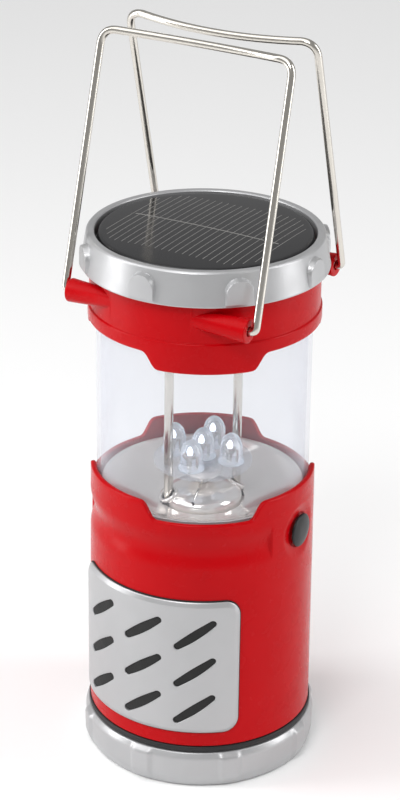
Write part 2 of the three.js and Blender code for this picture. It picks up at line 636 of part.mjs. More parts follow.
LAMP_ANGLES.forEach((angle, i) =>
  part(`led_lamp_${i + 2}`, lamp(...polar(LAMP.circleR, angle)), LAMP_CLEAR));

part('clear_tube', clearTube(), CLEAR);
part('tube_slide_ring', slideRing(), BLACK);
ROD_ANGLES.forEach((angle, i) => part(`guide_rod_${i + 1}`, guideRod(angle), CHROME));
part('upper_collar', upperCollar(), RED);
part('cap_ring', capRing(), SILVER);
part('solar_tray', solarTray(), BLACK);
part('solar_cell', solarCell(), SOLAR);
part('solar_window', solarWindow(), CLEAR);
addBail('front_bail', -1);
addBail('back_bail', 1);

export default group;
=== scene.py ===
import math

import bmesh
import bpy
import numpy as np
from mathutils import Matrix, Vector
from mathutils.geometry import delaunay_2d_cdt


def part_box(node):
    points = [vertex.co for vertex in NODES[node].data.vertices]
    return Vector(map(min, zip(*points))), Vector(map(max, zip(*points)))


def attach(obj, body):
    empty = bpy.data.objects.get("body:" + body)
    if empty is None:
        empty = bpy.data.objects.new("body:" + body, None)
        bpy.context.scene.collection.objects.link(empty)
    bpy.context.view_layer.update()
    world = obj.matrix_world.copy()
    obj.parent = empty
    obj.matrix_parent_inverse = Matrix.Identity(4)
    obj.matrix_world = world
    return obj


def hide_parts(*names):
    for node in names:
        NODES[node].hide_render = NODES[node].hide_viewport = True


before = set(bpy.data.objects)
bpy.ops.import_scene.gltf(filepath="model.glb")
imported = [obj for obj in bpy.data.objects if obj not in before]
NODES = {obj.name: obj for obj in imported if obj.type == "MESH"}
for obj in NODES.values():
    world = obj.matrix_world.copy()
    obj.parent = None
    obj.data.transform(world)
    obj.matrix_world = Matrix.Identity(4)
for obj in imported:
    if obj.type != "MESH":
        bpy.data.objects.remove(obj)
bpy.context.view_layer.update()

# Shapes are worked out in millimetres, in the lantern's own frame, and scaled as they are made.
MM = 0.001


def low(node):
    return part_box(node)[0][2] / MM


def high(node):
    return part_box(node)[1][2] / MM


# ---- Sizes that the frame doesn't give ------------------------------------------------------

CAP = {"bottom_r": 40.3, "side_r": 41.5, "bore_r": 38, "floor_z": 2.4, "flat_r": 30, "side_z": 3.6,
       "bevel_out": 1.1, "bevel_z": 2.2, "lobe": 0.85, "lobe_half": 6.6}
SEAL_RING = {"bore_r": 37.6, "r": 40.3}
SHELL = {"base_r": 39.8, "top_r": 39.3, "bore_r": 37.45, "notch_z": 103.2, "lip_r": 33, "lip_top": 18,
         "rim_round": 0.7}
NOTCH = {"top_half": 20.4, "floor_half": 17.4}
TAB = {"top_half": 20.0, "tip_half": 16.9}
TAB_ANGLES = (-60, 60, 180)
GRIP = {"z": 92.5, "half_height": 7.5, "depth": 1.35, "front_half": 68, "back_half": 60}
RECESS = {"r": 38.9, "half_angle": 46.5, "low": 26, "high": 70}
BUTTON = {"z": 92, "r": 6, "dish_r": 10.5, "dish": 0.75, "well_r": 6.5, "well": 0.65, "edge": 0.8}
PANEL = {"r": 41.1, "half_angle": 50, "corner": 5.5, "bevel": 1.7}
SLOT = {"columns": (-28.5, 0, 27), "mid_z": 46.6, "pitch_z": 14.8, "half_length": 7.7, "end_r": 1.5,
        "half_width": 1.95, "slant": 37}
CLOTH_DEPTH = 0.4
# Where the black sheet of painted shadow in the gap round the grille panel sits.
GAP_SHADE = {"r": 39.87, "beyond": 0.4}
COLLAR = {"r": 39.5, "bore_r": 37.4, "flange_r": 40.07, "flange_z": 165.2, "step_z": 169.8}
KNUCKLE = {"r": 4.1, "root_r": 2.6, "y": 33.5, "z": 178, "end_x": 34.2, "root_x": 9, "bore_r": 1.7,
           "shift": 1.4}
RING = {"lip_r": 42.5, "top_r": 40.4, "eye_r": 37.6, "sleeve_r": 39.8, "shelf_z": 190.3}
RING_LOBE = {"half": 5.0, "low": 185.0, "high": 193.6, "face_r": 43.15}
REFLECTOR = {"rim_r": 35.3, "bowl_r": 14.9, "bowl_z": 95, "groove_z": 93.4, "hub_r": 14, "hub_z": 95.6,
             "crown_z": 101, "wall": 1, "hole_r": 2.75}
STEM = {"foot_r": 2.6, "waist_r": 2.4, "waist": 2.0, "bulge_r": 6.9, "bulge": 3.2, "top_r": 5.6,
        "top": 1.0}
DISC = {"r": 17.3, "hole_r": 2.2}
LEAD = {"r": 0.32, "x": 3.1, "y": -12.4, "hole_r": 0.85, "tilt": 52}
ROD = {"r": 1.6, "circle_r": 13, "angles": (-127, 53)}
GUIDE = {"lip_r": 3.0, "lip": 0.5, "z": 98.0, "tilt": 32, "gap_shade_r": 2.0}
LAMP = {"flange_r": 4.6, "flange": 1.1, "r": 4, "crown": 1.5, "circle_r": 10.7,
        "angles": (8, 98, 188, 278)}
TUBE = {"bore_r": 35.7, "r": 37.2}
SOLAR_CELL = {"half_x": 29, "half_y": 26.5, "chamfer": 9}
WINDOW = {"r": 36.6, "edge_r": 1.3, "crown": 0.9}
FINGER = {"pitch": 2.6, "count": 23, "half_length": 25, "half_width": 0.11, "clear_r": 33.6}
BUSBAR = {"half_length": 27.7, "half_width": 0.28}
BAIL = {"wire_r": 1.35, "leg": 87.7, "foot_x": 36.4, "top_x": 35.5, "lean": 15, "bow": 4, "shift": 1.5}
BAIL_BEND = {"foot": 2, "corner": 5.5, "inner_x": 26.4, "bar_y": 0.4}
LOBES = 8
ON_AXIS = 0.01  # stands in for radius 0, so that turned faces keep an area

# ---- Mesh helpers ---------------------------------------------------------------------------


def polar(r, degrees, z=0.0):
    """The point at that radius and angle about Z."""
    return (r * math.cos(math.radians(degrees)), r * math.sin(math.radians(degrees)), z)


def smooth(low_edge, high_edge, value):
    """A soft step from 0 below low_edge to 1 above high_edge."""
    share = np.clip((np.asarray(value, float) - low_edge) / (high_edge - low_edge), 0, 1)
    return share * share * (3 - 2 * share)


def turn_from(degrees, middle):
    """The signed angle from middle to degrees, from -180 to 180."""
    return (degrees - middle + 180) % 360 - 180


def piece(name, verts, faces, material, sharp=32):
    """A mesh object from millimetre points, smooth except at edges sharper than that angle."""
    mesh = bpy.data.meshes.new(name)
    mesh.from_pydata([tuple(v) for v in np.asarray(verts) * MM], [], faces)
    work = bmesh.new()
    work.from_mesh(mesh)
    bmesh.ops.remove_doubles(work, verts=work.verts, dist=2e-7)
    bmesh.ops.recalc_face_normals(work, faces=work.faces)
    work.to_mesh(mesh)
    work.free()
    mesh.shade_smooth()
    mesh.set_sharp_from_angle(angle=math.radians(sharp))
    obj = bpy.data.objects.new(name, mesh)
    bpy.context.scene.collection.objects.link(obj)
    mesh.materials.append(material)
    return obj


def strips(rows, count, close_rows, offset=0):
    """Quads between neighbouring closed loops of count points each."""
    faces = []
    last = rows if close_rows else rows - 1
    for i in range(last):
        a, b = i * count, ((i + 1) % rows) * count
        for j in range(count):
            k = (j + 1) % count
            faces.append((offset + a + j, offset + a + k, offset + b + k, offset + b + j))
    return faces


def fillet(corners, steps=5):
    """Points (r, z) of an outline whose corners (r, z, size) are rounded by that size."""
    points = []
    count = len(corners)
    for i, (r, z, size) in enumerate(corners):
        here = np.array((r, z), float)
        if not size:
            points.append(here)
            continue
        before = np.array(corners[i - 1][:2], float) - here
        after = np.array(corners[(i + 1) % count][:2], float) - here
        start = here + before / np.linalg.norm(before) * size
        end = here + after / np.linalg.norm(after) * size
        for t in np.linspace(0, 1, steps):
            points.append(start * (1 - t) ** 2 + here * 2 * t * (1 - t) + end * t * t)
    return points


def turned(name, corners, material, steps=128, sharp=32, place=None):
    """A turned piece about Z, or about Z moved by place. The outline closes on itself."""
    outline = fillet(corners)
    verts = [polar(r, 360 * j / steps, z) for r, z in outline for j in range(steps)]
    faces = strips(len(outline), steps, True)
    verts = np.array(verts)
    if place is not None:
        verts = np.array([place @ Vector(v) for v in verts])
    return piece(name, verts, faces, material, sharp)


def angle_steps(count, bands=()):
    """Angles round the axis, with finer steps inside each band (middle, half, step)."""
    angles = set(np.round(np.arange(count) * 360 / count, 3))
    for middle, half, step in bands:
        angles.update(np.round(np.arange(middle - half, middle + half, step) % 360, 3))
    return np.array(sorted(angles))


def swept(name, section, angles, material, sharp=32):
    """A closed ring whose cross-section changes with the angle."""
    columns = [section(angle) for angle in angles]
    rows = len(columns[0])
    verts = [polar(columns[j][i][0], angles[j], columns[j][i][1])
             for i in range(rows) for j in range(len(angles))]
    return piece(name, verts, strips(rows, len(angles), True), material, sharp)


def tube_along(points, r, sides=16):
    """Points and faces of a round wire with closed ends."""
    points = np.asarray(points, float)
    tangents = np.gradient(points, axis=0)
    tangents /= np.linalg.norm(tangents, axis=1)[:, None]
    side = np.cross(tangents[0], (0, 0, 1) if abs(tangents[0][2]) < 0.9 else (1, 0, 0))
    verts = []
    for point, tangent in zip(points, tangents):
        side = side - tangent * np.dot(side, tangent)
        side /= np.linalg.norm(side)
        other = np.cross(tangent, side)
        for j in range(sides):
            turn = 2 * math.pi * j / sides
            verts.append(point + r * (math.cos(turn) * side + math.sin(turn) * other))
    faces = strips(len(points), sides, False)
    last = (len(points) - 1) * sides
    faces.append(tuple(range(sides)))
    faces.append(tuple(last + j for j in reversed(range(sides))))
    return verts, faces


def offset_loop(loop, distance):
    """A closed 2D loop moved outward by distance; the loop runs anticlockwise."""
    tangent = np.roll(loop, -1, axis=0) - np.roll(loop, 1, axis=0)
    tangent /= np.linalg.norm(tangent, axis=1)[:, None]
    return loop + distance * np.column_stack((tangent[:, 1], -tangent[:, 0]))


def inside(point, loop):
    """Whether a 2D point lies within a closed loop."""
    hit = False
    for (x0, y0), (x1, y1) in zip(loop, np.roll(loop, -1, axis=0)):
        if (y0 > point[1]) != (y1 > point[1]):
            if point[0] < (x1 - x0) * (point[1] - y0) / (y1 - y0) + x0:
                hit = not hit
    return hit


def sheet_plate(name, outline, holes, onto, material, edge, hole_edge, grid=1.6):
    """A plate with a rounded edge and cut-outs, drawn flat and put in place by onto(s, z, depth).

    edge and hole_edge list (outward, depth) steps that turn the rim down from the face."""
    loops = [outline] + holes
    flat, links = [], []
    for loop in loops:
        start = len(flat)
        flat += [Vector(p) for p in loop]
        links += [(start + i, start + (i + 1) % len(loop)) for i in range(len(loop))]
    (s0, z0), (s1, z1) = outline.min(axis=0), outline.max(axis=0)
    for s in np.arange(s0 + grid / 2, s1, grid):
        for z in np.arange(z0 + grid / 2, z1, grid):
            if inside((s, z), outline) and not any(inside((s, z), hole) for hole in holes):
                if min(np.hypot(*(loop - (s, z)).T).min() for loop in loops) > grid * 0.45:
                    flat.append(Vector((s, z)))
    points, _, triangles, _, _, _ = delaunay_2d_cdt(flat, links, [], 1, 1e-5)
    kept = []
    for triangle in triangles:
        middle = np.mean([points[i] for i in triangle], axis=0)
        if inside(middle, outline) and not any(inside(middle, hole) for hole in holes):
            kept.append(tuple(triangle))
    verts = [onto(p[0], p[1], 0) for p in points]
    faces = list(kept)
    for loop, steps, sign in [(outline, edge, 1)] + [(hole, hole_edge, -1) for hole in holes]:
        start = len(verts)
        rows = [(0, 0)] + list(steps)
        for outward, depth in rows:
            verts += [onto(s, z, depth) for s, z in offset_loop(loop, sign * outward)]
        faces += strips(len(rows), len(loop), False, start)
    return piece(name, verts, faces, material)


def cut(obj, cutter, operation="DIFFERENCE"):
    """Cuts or joins obj by cutter for good, then removes cutter."""
    modifier = obj.modifiers.new("cut", "BOOLEAN")
    modifier.operation = operation
    modifier.solver = "EXACT"
    modifier.object = cutter
    depsgraph = bpy.context.evaluated_depsgraph_get()
    mesh = bpy.data.meshes.new_from_object(obj.evaluated_get(depsgraph))
    obj.modifiers.clear()
    obj.data = mesh
    mesh.shade_smooth()
    mesh.set_sharp_from_angle(angle=math.radians(38))
    bpy.data.objects.remove(cutter)


def drill(r, z0, z1, material, steps, place=None):
    """A plain round cutter about Z, or about Z moved by place."""
    outline = [(ON_AXIS, z0, 0), (r, z0, 0), (r, z1, 0), (ON_AXIS, z1, 0)]
    return turned("cutter", outline, material, steps, place=place)


def merge(obj, others):
    """Joins loose pieces into one object."""
    work = bmesh.new()
    for each in [obj, *others]:
        work.from_mesh(each.data)
    work.to_mesh(obj.data)
    work.free()
    obj.data.shade_smooth()
    obj.data.set_sharp_from_angle(angle=math.radians(40))
    for each in others:
        bpy.data.objects.remove(each)
    return obj


def keep(obj, body, slot_name, *nodes):
    """Puts a finished piece on its body, in place of its CAD nodes. slot_name is not used."""
    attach(obj, body)
    if nodes:
        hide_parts(*nodes)


# ---- Materials ------------------------------------------------------------------------------


def new_material(name):
    """A fresh material with its node tree and its main shader."""
    material = bpy.data.materials.new(name)
    material.use_nodes = True
    tree = material.node_tree
    shader = tree.nodes["Principled BSDF"]
    return material, tree, shader


def set_inputs(shader, **values):
    """Sets constants on the shader's own sockets; underscores stand for spaces."""
    for key, value in values.items():
        shader.inputs[key.replace("_", " ")].default_value = value


def noise(tree, scale, detail=3.0, stretch=(1, 1, 1)):
    """Object-space noise with that many features per metre."""
    where = tree.nodes.new("ShaderNodeTexCoord")
    mapping = tree.nodes.new("ShaderNodeMapping")
    mapping.inputs["Scale"].default_value = stretch
    texture = tree.nodes.new("ShaderNodeTexNoise")
    texture.inputs["Scale"].default_value = scale
    texture.inputs["Detail"].default_value = detail
    tree.links.new(where.outputs["Object"], mapping.inputs["Vector"])
    tree.links.new(mapping.outputs["Vector"], texture.inputs["Vector"])
    return texture.outputs["Fac"]


def ranged(tree, value, low_out, high_out, low_in=0.3, high_in=0.7):
    node = tree.nodes.new("ShaderNodeMapRange")
    node.inputs["From Min"].default_value = low_in
    node.inputs["From Max"].default_value = high_in
    node.inputs["To Min"].default_value = low_out
    node.inputs["To Max"].default_value = high_out
    tree.links.new(value, node.inputs["Value"])
    return node.outputs["Result"]


def blend_colours(tree, value, first, second):
    node = tree.nodes.new("ShaderNodeMix")
    node.data_type = "RGBA"
    node.inputs["A"].default_value = (*first, 1)
    node.inputs["B"].default_value = (*second, 1)
    tree.links.new(value, node.inputs["Factor"])
    return node.outputs["Result"]


def add_bump(tree, shader, height, strength, distance):
    bump = tree.nodes.new("ShaderNodeBump")
    bump.inputs["Strength"].default_value = strength
    bump.inputs["Distance"].default_value = distance
    tree.links.new(height, bump.inputs["Height"])
    tree.links.new(bump.outputs["Normal"], shader.inputs["Normal"])


def moulded(name, first, second, roughness, grain, bump, metallic=0.0, coat=0.0, gloss=0.5):
    """Moulded or painted plastic: a mottled colour, uneven gloss and a fine grain."""
    material, tree, shader = new_material(name)
    set_inputs(shader, Metallic=metallic, Specular_IOR_Level=gloss)
    set_inputs(shader, Coat_Weight=coat, Coat_Roughness=0.08)
    tree.links.new(blend_colours(tree, noise(tree, 55), first, second), shader.inputs["Base Color"])
    uneven = ranged(tree, noise(tree, 140, 4), roughness - 0.05, roughness + 0.06)
    tree.links.new(uneven, shader.inputs["Roughness"])
    add_bump(tree, shader, noise(tree, grain, 2), bump, 0.0004)
    return material


def plated(name, first, second, roughness, stretch=(1, 1, 1), bump=0.03, metallic=1.0):
    material, tree, shader = new_material(name)
    set_inputs(shader, Metallic=metallic)
    tree.links.new(blend_colours(tree, noise(tree, 90), first, second), shader.inputs["Base Color"])
    gloss = ranged(tree, noise(tree, 300, 3, stretch), max(0.02, roughness - 0.04), roughness + 0.05)
    tree.links.new(gloss, shader.inputs["Roughness"])
    add_bump(tree, shader, noise(tree, 220, 2, stretch), bump, 0.0006)
    return material


def see_through(name, tint, least, most, power=3.0):
    """Clear moulded plastic: see-through face on, and milky and mirror-like at a glance."""
    material, tree, shader = new_material(name)
    set_inputs(shader, Base_Color=(*tint, 1), IOR=1.49)
    gloss = ranged(tree, noise(tree, 120, 3), 0.02, 0.07)
    tree.links.new(gloss, shader.inputs["Roughness"])
    clear = tree.nodes.new("ShaderNodeBsdfTransparent")
    clear.inputs["Color"].default_value = (0.975, 0.98, 0.99, 1)
    glance = tree.nodes.new("ShaderNodeLayerWeight")
    glance.inputs["Blend"].default_value = 0.5
    curve = tree.nodes.new("ShaderNodeMath")
    curve.operation = "POWER"
    curve.inputs[1].default_value = power
    tree.links.new(glance.outputs["Facing"], curve.inputs[0])
    mix = tree.nodes.new("ShaderNodeMixShader")
    tree.links.new(ranged(tree, curve.outputs["Value"], least, most, 0.0, 1.0), mix.inputs["Fac"])
    tree.links.new(clear.outputs["BSDF"], mix.inputs[1])
    tree.links.new(shader.outputs["BSDF"], mix.inputs[2])
    tree.links.new(mix.outputs["Shader"], tree.nodes["Material Output"].inputs["Surface"])
    return material


def lamp_resin():
    material, tree, shader = new_material("lamp_resin")
    set_inputs(shader, Base_Color=(0.93, 0.96, 1.0, 1), IOR=1.5, Transmission_Weight=0.85)
    set_inputs(shader, Emission_Color=(0.75, 0.86, 1.0, 1), Emission_Strength=0.06)
    tree.links.new(ranged(tree, noise(tree, 400, 2), 0.02, 0.1), shader.inputs["Roughness"])
    return material


def lamp_glow():
    """The lit chip and phosphor in a lamp's cup."""
    material, tree, shader = new_material("lamp_glow")
    set_inputs(shader, Base_Color=(0.9, 0.95, 1.0, 1), Emission_Color=(0.86, 0.92, 1.0, 1))
    tree.links.new(ranged(tree, noise(tree, 500, 1), 1.6, 2.2), shader.inputs["Emission Strength"])
    return material


def board_mask():
    """Green solder mask with faint copper tracks under it."""
    material, tree, shader = new_material("board_mask")
    wave = tree.nodes.new("ShaderNodeTexWave")
    wave.inputs["Scale"].default_value = 220
    wave.inputs["Distortion"].default_value = 3
    where = tree.nodes.new("ShaderNodeTexCoord")
    tree.links.new(where.outputs["Object"], wave.inputs["Vector"])
    tracks = ranged(tree, wave.outputs["Fac"], 0, 1, 0.6, 0.7)
    colour = blend_colours(tree, tracks, (0.01, 0.10, 0.04), (0.03, 0.2, 0.08))
    tree.links.new(colour, shader.inputs["Base Color"])
    set_inputs(shader, Roughness=0.4)
    return material


RED = moulded("red_plastic", (0.44, 0.0006, 0.003), (0.49, 0.001, 0.004), 0.25, 900, 0.0, gloss=0.11)
SILVER = moulded("silver_paint", (0.43, 0.432, 0.44), (0.47, 0.472, 0.48), 0.36, 1400, 0.06,
                 metallic=0.5)
RUBBER = moulded("black_rubber", (0.008, 0.008, 0.009), (0.015, 0.015, 0.016), 0.5, 1600, 0.25, gloss=0.4)
BLACK = moulded("black_plastic", (0.010, 0.010, 0.011), (0.018, 0.018, 0.02), 0.42, 1200, 0.15)
SLOT_BLACK = moulded("slot_cloth", (0.009, 0.009, 0.009), (0.016, 0.016, 0.016), 0.8, 2500, 0.5)
CHROME = plated("reflector_plating", (0.97, 0.94, 0.90), (0.92, 0.89, 0.85), 0.10, bump=0.06, metallic=0.6)
NICKEL = plated("nickel_wire", (0.68, 0.65, 0.60), (0.60, 0.57, 0.52), 0.16, (1, 1, 0.15), 0.08)
CLEAR = see_through("clear_plastic", (0.80, 0.81, 0.88), 0.055, 0.5)
DISC_CLEAR = see_through("disc_plastic", (0.80, 0.82, 0.86), 0.10, 0.8)
COVER = moulded("panel_cover", (0.012, 0.012, 0.013), (0.016, 0.016, 0.018), 0.12, 300, 0.0, gloss=0.5)
BUTTON_BLACK = moulded("button_rubber", (0.006, 0.006, 0.007), (0.010, 0.010, 0.011), 0.33, 900, 0.1,
                       gloss=0.3)
RESIN = lamp_resin()
GLOW = lamp_glow()
SOLAR = moulded("solar_silicon", (0.030, 0.031, 0.034), (0.036, 0.037, 0.041), 0.3, 500, 0.05)
SILVER_INK = moulded("silver_ink", (0.26, 0.255, 0.245), (0.18, 0.175, 0.17), 0.45, 300, 0.0)
BOARD = board_mask()
WRAP = moulded("cell_wrap", (0.03, 0.20, 0.08), (0.04, 0.25, 0.10), 0.35, 700, 0.05, coat=0.3)

# ---- Battery cap and gasket -----------------------------------------------------------------


def lobe_share(angle, half):
    """1 on a lobe's crest and 0 between lobes, with soft sides."""
    off = abs(turn_from(angle, round(angle / (360 / LOBES)) * 360 / LOBES))
    return float(1 - smooth(half * 0.55, half, off))


def base_cap():
    top = high("base_cap")

    def section(angle):
        lobe = CAP["lobe"] * lobe_share(angle, CAP["lobe_half"])
        side = CAP["side_r"] + lobe
        drop = 0.5 * lobe
        return fillet([
            (ON_AXIS, 0, 0), (CAP["flat_r"], 0, 0), (CAP["bottom_r"], 0, 1.2),
            (side - 0.1, CAP["side_z"], 1.6), (side, top - CAP["bevel_z"] + drop, 0.9),
            (CAP["side_r"] - CAP["bevel_out"], top, 0.35), (CAP["bore_r"], top, 0.2),
            (CAP["bore_r"], CAP["floor_z"], 0.5), (ON_AXIS, CAP["floor_z"], 0),
        ])

    return swept("battery_cap", section, angle_steps(480), SILVER, 40)


def gasket():
    z0, z1 = low("base_gasket"), high("base_gasket")
    return turned("base_seal", [
        (SEAL_RING["bore_r"], z0, 0.2), (SEAL_RING["r"], z0, 0.6), (SEAL_RING["r"], z1, 0.6),
        (SEAL_RING["bore_r"], z1, 0.2),
    ], RUBBER, 160)


# ---- Body shell -----------------------------------------------------------------------------


def rim_height(angle, floor_z, rim_z, floor_half, top_half, r):
    """The height of a notched rim, or of a tabbed edge, with rounded corners."""
    off = min(abs(turn_from(angle, middle)) for middle in TAB_ANGLES)
    aside = r * math.sin(math.radians(min(off, 90)))
    share = (aside - floor_half) / (top_half - floor_half)
    soft = 0.16
    rise = soft * (np.logaddexp(0, share / soft) - np.logaddexp(0, (share - 1) / soft))
    return floor_z + (rim_z - floor_z) * float(rise)


RIM_BANDS = tuple((middle + side * 28.5, 6, 0.25) for middle in TAB_ANGLES for side in (-1, 1))
GRIP_END_BANDS = tuple((-90 + side * GRIP["front_half"], 3, 0.25) for side in (-1, 1))
BUTTON_BAND = ((0, 17, 0.4),)


def grip_depth(angle, z):
    """How deep the finger groove is there."""
    share = np.clip((z - GRIP["z"]) / GRIP["half_height"], -1, 1)
    wave = (1 + np.cos(math.pi * share)) / 2
    front = 1 - smooth(GRIP["front_half"] - 1.2, GRIP["front_half"], abs(turn_from(angle, -90)))
    back = 1 - smooth(GRIP["back_half"] - 1.2, GRIP["back_half"], abs(turn_from(angle, 90)))
    return GRIP["depth"] * wave * (front + back)


def button_dish(angle, z):
    """How deep the dish and the well round the power button are there."""
    aside = SHELL["top_r"] * math.radians(turn_from(angle, 0))
    away = np.hypot(aside, z - BUTTON["z"])
    dish = BUTTON["dish"] * (1 - smooth(BUTTON["well_r"], BUTTON["dish_r"], away))
    well = BUTTON["well"] * (1 - smooth(BUTTON["well_r"] - 0.5, BUTTON["well_r"] - 0.1, away))
    return dish + well


def body_shell():
    base, rim = low("body_shell"), high("body_shell")
    levels = np.concatenate(([base + 0.4, 22, RECESS["low"] - 0.1, RECESS["low"] + 0.1, 48,
                              RECESS["high"] - 0.1, RECESS["high"] + 0.1, 78], np.arange(81, 102, 0.4)))

    def outer_r(z):
        return SHELL["base_r"] + (SHELL["top_r"] - SHELL["base_r"]) * (z - base) / (rim - base)

    def section(angle):
        top = rim_height(angle, SHELL["notch_z"], rim, NOTCH["floor_half"], NOTCH["top_half"],
                         SHELL["top_r"])
        radii = outer_r(levels) - grip_depth(angle, levels) - button_dish(angle, levels)
        if abs(turn_from(angle, -90)) < RECESS["half_angle"]:
            under = (levels > RECESS["low"]) & (levels < RECESS["high"])
            radii = np.where(under, RECESS["r"], radii)
        points = [(SHELL["base_r"] - 0.4, base)] + list(zip(radii, levels))
        edge = outer_r(rim)
        bend = SHELL["rim_round"]
        points += [(edge, z) for z in np.linspace(102, top - bend, 5)]
        half = (edge - SHELL["bore_r"]) / 2
        for turn in np.linspace(0, math.pi, 9):
            points.append((edge - half + half * math.cos(turn), top - bend + bend * math.sin(turn)))
        points += [(SHELL["bore_r"], z) for z in (100, 60, SHELL["lip_top"])]
        points += [(SHELL["lip_r"], SHELL["lip_top"]), (SHELL["lip_r"], base)]
        return points

    angles = angle_steps(360, RIM_BANDS + GRIP_END_BANDS + BUTTON_BAND)
    return swept("body_shell_skin", section, angles, RED, 38)


# ---- Grille ---------------------------------------------------------------------------------


def on_barrel(s, z, depth):
    """A point of the panel, from its arc length from the middle and its depth below the face."""
    return polar(PANEL["r"] - depth, -90 + math.degrees(s / PANEL["r"]), z)


def rounded_rect(half, z0, z1, corner, steps=10):
    points = []
    for cx, cz, start in ((half - corner, z0 + corner, -90), (half - corner, z1 - corner, 0),
                          (-half + corner, z1 - corner, 90), (-half + corner, z0 + corner, 180)):
        for i in range(steps + 1):
            x, z, _ = polar(corner, start + 90 * i / steps)
            points.append((cx + x, cz + z))
    return dense_loop(np.array(points), 1.5)


def dense_loop(loop, spacing):
    """The loop with points added along its long straight stretches."""
    points = []
    for start, end in zip(loop, np.roll(loop, -1, axis=0)):
        count = max(1, int(np.linalg.norm(end - start) / spacing))
        points += [start + (end - start) * i / count for i in range(count)]
    return np.array(points)


def slot_outline(middle_angle, middle_z):
    """A slanted slot with round ends, a little wider in the middle."""
    slant = math.radians(SLOT["slant"])
    middle = PANEL["r"] * math.radians(middle_angle)
    length, end_r = SLOT["half_length"], SLOT["end_r"]
    half = [(length + end_r * math.cos(t), end_r * math.sin(t)) for t in np.linspace(-1.5, 1.5, 11)]
    for share in np.linspace(0.9, -0.9, 13):
        bulge = (SLOT["half_width"] - end_r) * math.cos(share * math.pi / 2)
        half.append((length * share, end_r + bulge))
    points = []
    for side in (1, -1):
        for along, aside in half:
            points.append((middle + side * (along * math.cos(slant) - aside * math.sin(slant)),
                           middle_z + side * (along * math.sin(slant) + aside * math.cos(slant))))
    return np.array(points)


def grille_panel():
    z0, z1 = low("grille_panel"), high("grille_panel")
    bevel = PANEL["bevel"]
    half = PANEL["r"] * math.radians(PANEL["half_angle"] - 0.6)
    outline = rounded_rect(half - bevel, z0 + bevel, z1 - bevel, PANEL["corner"] - bevel)
    slots = [slot_outline(column, SLOT["mid_z"] + row * SLOT["pitch_z"])
             for column in SLOT["columns"] for row in (-1, 0, 1)]
    edge = [(0.06, 0.01), (0.18, 0.06), (1.35, 0.56), (bevel - 0.15, 0.68), (bevel, 0.85),
            (bevel, 1.15)]
    hole_edge = [(0.10, 0.04), (0.17, 0.14), (0.19, 1.1)]
    return sheet_plate("grille_plate", outline, slots, on_barrel, SILVER, edge, hole_edge)


def grille_backing():
    box_low, box_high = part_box("grille_backing")
    half = math.asin(box_high[0] / MM / 39.75) * 39.4
    outline = rounded_rect(half, box_low[2] / MM, box_high[2] / MM, 3)
    return sheet_plate("grille_cloth", outline, [], lambda s, z, d: on_barrel(s, z, CLOTH_DEPTH + d),
                       SLOT_BLACK, [(0.1, 0.1), (0.12, 0.5)], [])


def panel_gap_shade():
    """A black sheet under the panel's edge, painted as the shadow line in the gap between the panel and
    the shell.
    """
    beyond = GAP_SHADE["beyond"]
    half = PANEL["r"] * math.radians(PANEL["half_angle"] - 0.6) + beyond
    outline = rounded_rect(half, low("grille_panel") - beyond, high("grille_panel") + beyond,
                           PANEL["corner"] + beyond)
    depth = PANEL["r"] - GAP_SHADE["r"]
    return sheet_plate("panel_gap_shade", outline, [], lambda s, z, d: on_barrel(s, z, depth + d),
                       SLOT_BLACK, [(0.02, 0.7)], [], 3)


# ---- Power button ---------------------------------------------------------------------------


def power_button():
    x0, x1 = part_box("power_button")[0][0] / MM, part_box("power_button")[1][0] / MM
    place = Matrix.Translation((0, 0, BUTTON["z"])) @ Matrix.Rotation(math.radians(90), 4, "Y")
    dome = [(ON_AXIS, x1, 0)]
    for share in np.linspace(0.2, 0.9, 8):
        dome.append((BUTTON["r"] * share, x1 - (x1 - x0 - 0.7) * share ** 3.2, 0))
    corners = dome + [(BUTTON["r"] - 0.1, x0 + BUTTON["edge"], 0.3), (BUTTON["r"], x0 + 0.3, 0.1),
                      (BUTTON["r"] - 0.2, x0, 0), (ON_AXIS, x0, 0)]
    return turned("power_button_dome", corners, BUTTON_BLACK, 64, 50, place)


# ---- Reflector, rods and lamps --------------------------------------------------------------


def rod_place(angle, z=0.0):
    return Matrix.Translation(polar(ROD["circle_r"], angle, z))


def reflector():
    top, wall = high("reflector"), REFLECTOR["wall"]
    span = REFLECTOR["rim_r"] - 1 - REFLECTOR["bowl_r"]
    bowl = []
    for share in np.linspace(1, 0, 18):
        r = REFLECTOR["bowl_r"] + span * share
        bowl.append((r, REFLECTOR["bowl_z"] + (top - REFLECTOR["bowl_z"]) * share ** 1.6))
    dome = []
    for turn in np.linspace(0, math.pi / 2, 16):
        z = REFLECTOR["hub_z"] + (REFLECTOR["crown_z"] - REFLECTOR["hub_z"]) * math.sin(turn)
        dome.append((max(REFLECTOR["hub_r"] * math.cos(turn), ON_AXIS), z))
    floor = REFLECTOR["groove_z"] - wall
    under = [(r, z - wall) for r, z in reversed(bowl[:-1])]
    outline = [(ON_AXIS, floor), (REFLECTOR["bowl_r"], floor), *under,
               (REFLECTOR["rim_r"], top - wall), (REFLECTOR["rim_r"], top), *bowl,
               (REFLECTOR["bowl_r"] - 0.2, REFLECTOR["groove_z"]),
               (REFLECTOR["hub_r"], REFLECTOR["groove_z"]), *dome]
    obj = turned("reflector_bowl", [(r, z, 0) for r, z in outline], CHROME, 160, 40)
    for angle in ROD["angles"]:
        cut(obj, drill(REFLECTOR["hole_r"], -8, 12, CHROME, 48, rod_place(angle, REFLECTOR["bowl_z"])))
    return obj


def rod_guide(angle, number):
    """A short sleeve whose rolled lip tilts outward with the reflector's slope."""
    lip, r = GUIDE["lip"], GUIDE["lip_r"]
    corners = [(r - lip * math.cos(t), lip * math.sin(t), 0) for t in np.linspace(0, math.pi, 9)]
    corners += [(r + lip * 0.9, -0.9, 0), (r - 0.25, -1.6, 0.2), (r - lip, -1.6, 0.2)]
    return turned(f"rod_sleeve_{number}", corners, CHROME, 48, 50, guide_place(angle))


